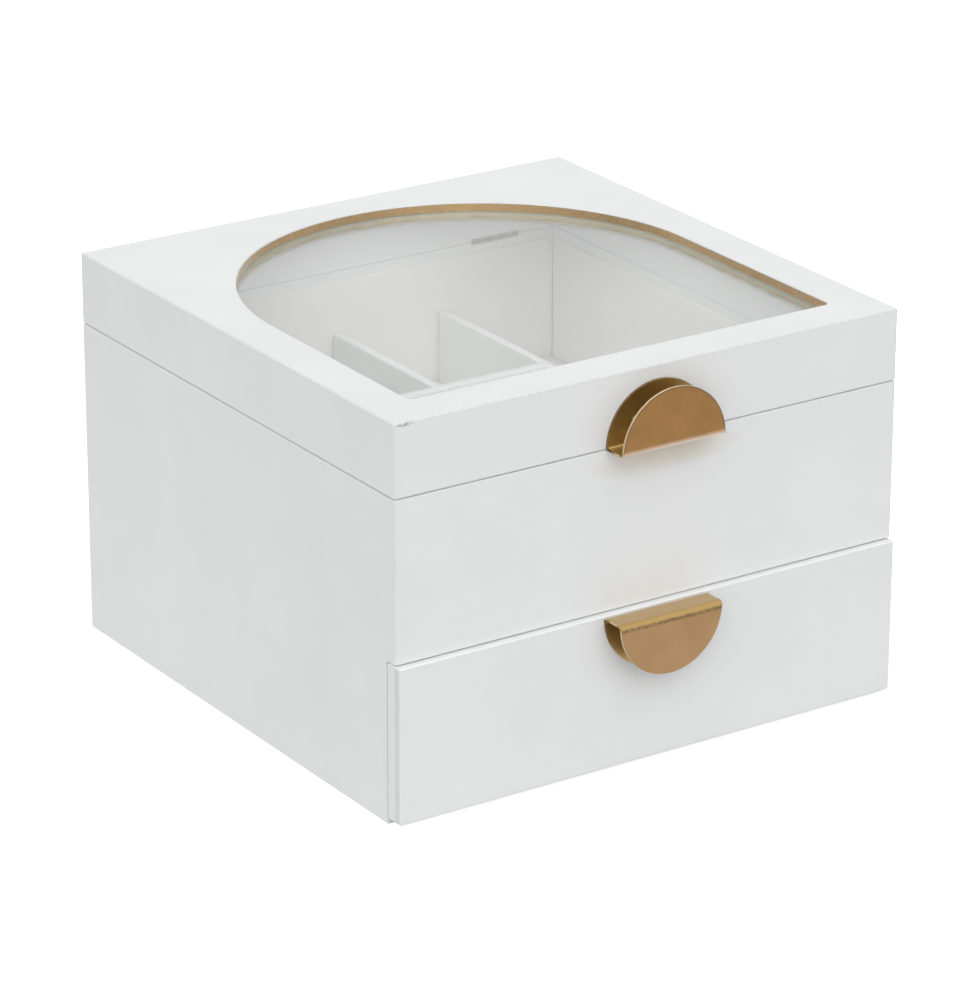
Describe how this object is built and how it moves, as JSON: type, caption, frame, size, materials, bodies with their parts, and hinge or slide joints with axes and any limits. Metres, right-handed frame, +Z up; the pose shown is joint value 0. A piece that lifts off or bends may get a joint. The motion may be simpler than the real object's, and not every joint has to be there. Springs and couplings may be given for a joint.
{
  "type": "jewelry box",
  "caption": "Square painted wooden jewelry box: lined, divided tray under a hinged lid with an arched glass window, over a full-width drawer, half-moon pulls.",
  "frame": {"origin": "centre of the underside of the base panel, on the surface that the box stands on", "axes": "+Z up; the front with the two handles faces -Y and the hinges are at +Y; +X to the right seen from the front; the plane X = 0 mirrors the box"},
  "size_m": [0.2, 0.2159, 0.14],
  "materials": {
    "white_board": "satin white lacquer on board",
    "divider_board": "matt off-white paint",
    "wall_lining": "short pale grey flock",
    "felt": "pale grey felt",
    "window_glass": "clear float glass",
    "gold_sheet": "matt gold lacquer with fine grain",
    "gold_trim": "satin gold",
    "hinge_steel": "zinc-plated, dull",
    "screw_steel": "zinc-plated"
  },
  "bodies": {
    "box": {"left_side_panel": "white_board", "right_side_panel": "white_board", "back_panel": "white_board", "upper_front_panel": "white_board", "base_panel": "white_board", "compartment_floor": "white_board", "cross_divider": "divider_board", "left_divider": "divider_board", "centre_divider": "divider_board", "right_divider": "divider_board", "front_wall_lining": "wall_lining", "back_wall_lining": "wall_lining", "left_wall_lining": "wall_lining", "right_wall_lining": "wall_lining", "tray_floor_pads": "felt", "left_hinge_body_leaf": "hinge_steel", "right_hinge_body_leaf": "hinge_steel", "left_hinge_pin": "hinge_steel", "right_hinge_pin": "hinge_steel", "left_hinge_body_screws": "screw_steel", "right_hinge_body_screws": "screw_steel"},
    "lid": {"lid_top_panel": "white_board", "lid_front_rail": "white_board", "lid_back_rail": "white_board", "lid_left_rail": "white_board", "lid_right_rail": "white_board", "window_glass": "window_glass", "window_trim": "gold_trim", "lid_handle": "gold_sheet", "lid_handle_screws": "screw_steel", "left_hinge_lid_leaf": "hinge_steel", "right_hinge_lid_leaf": "hinge_steel", "left_hinge_lid_screws": "screw_steel", "right_hinge_lid_screws": "screw_steel"},
    "drawer": {"drawer_front": "white_board", "drawer_left_side": "white_board", "drawer_right_side": "white_board", "drawer_back": "white_board", "drawer_bottom": "white_board", "drawer_floor_pad": "felt", "drawer_handle": "gold_sheet", "drawer_handle_screws": "screw_steel"}
  },
  "joints": [
    {"name": "lid_hinge", "type": "hinge", "parent": "box", "child": "lid", "pos_m": [0, 0.1019, 0.1143], "axis": [-1, 0, 0], "range_deg": [0, 100]},
    {"name": "drawer_slide", "type": "slide", "parent": "box", "child": "drawer", "axis": [0, -1, 0], "range_m": [0, 0.13]}
  ]
}
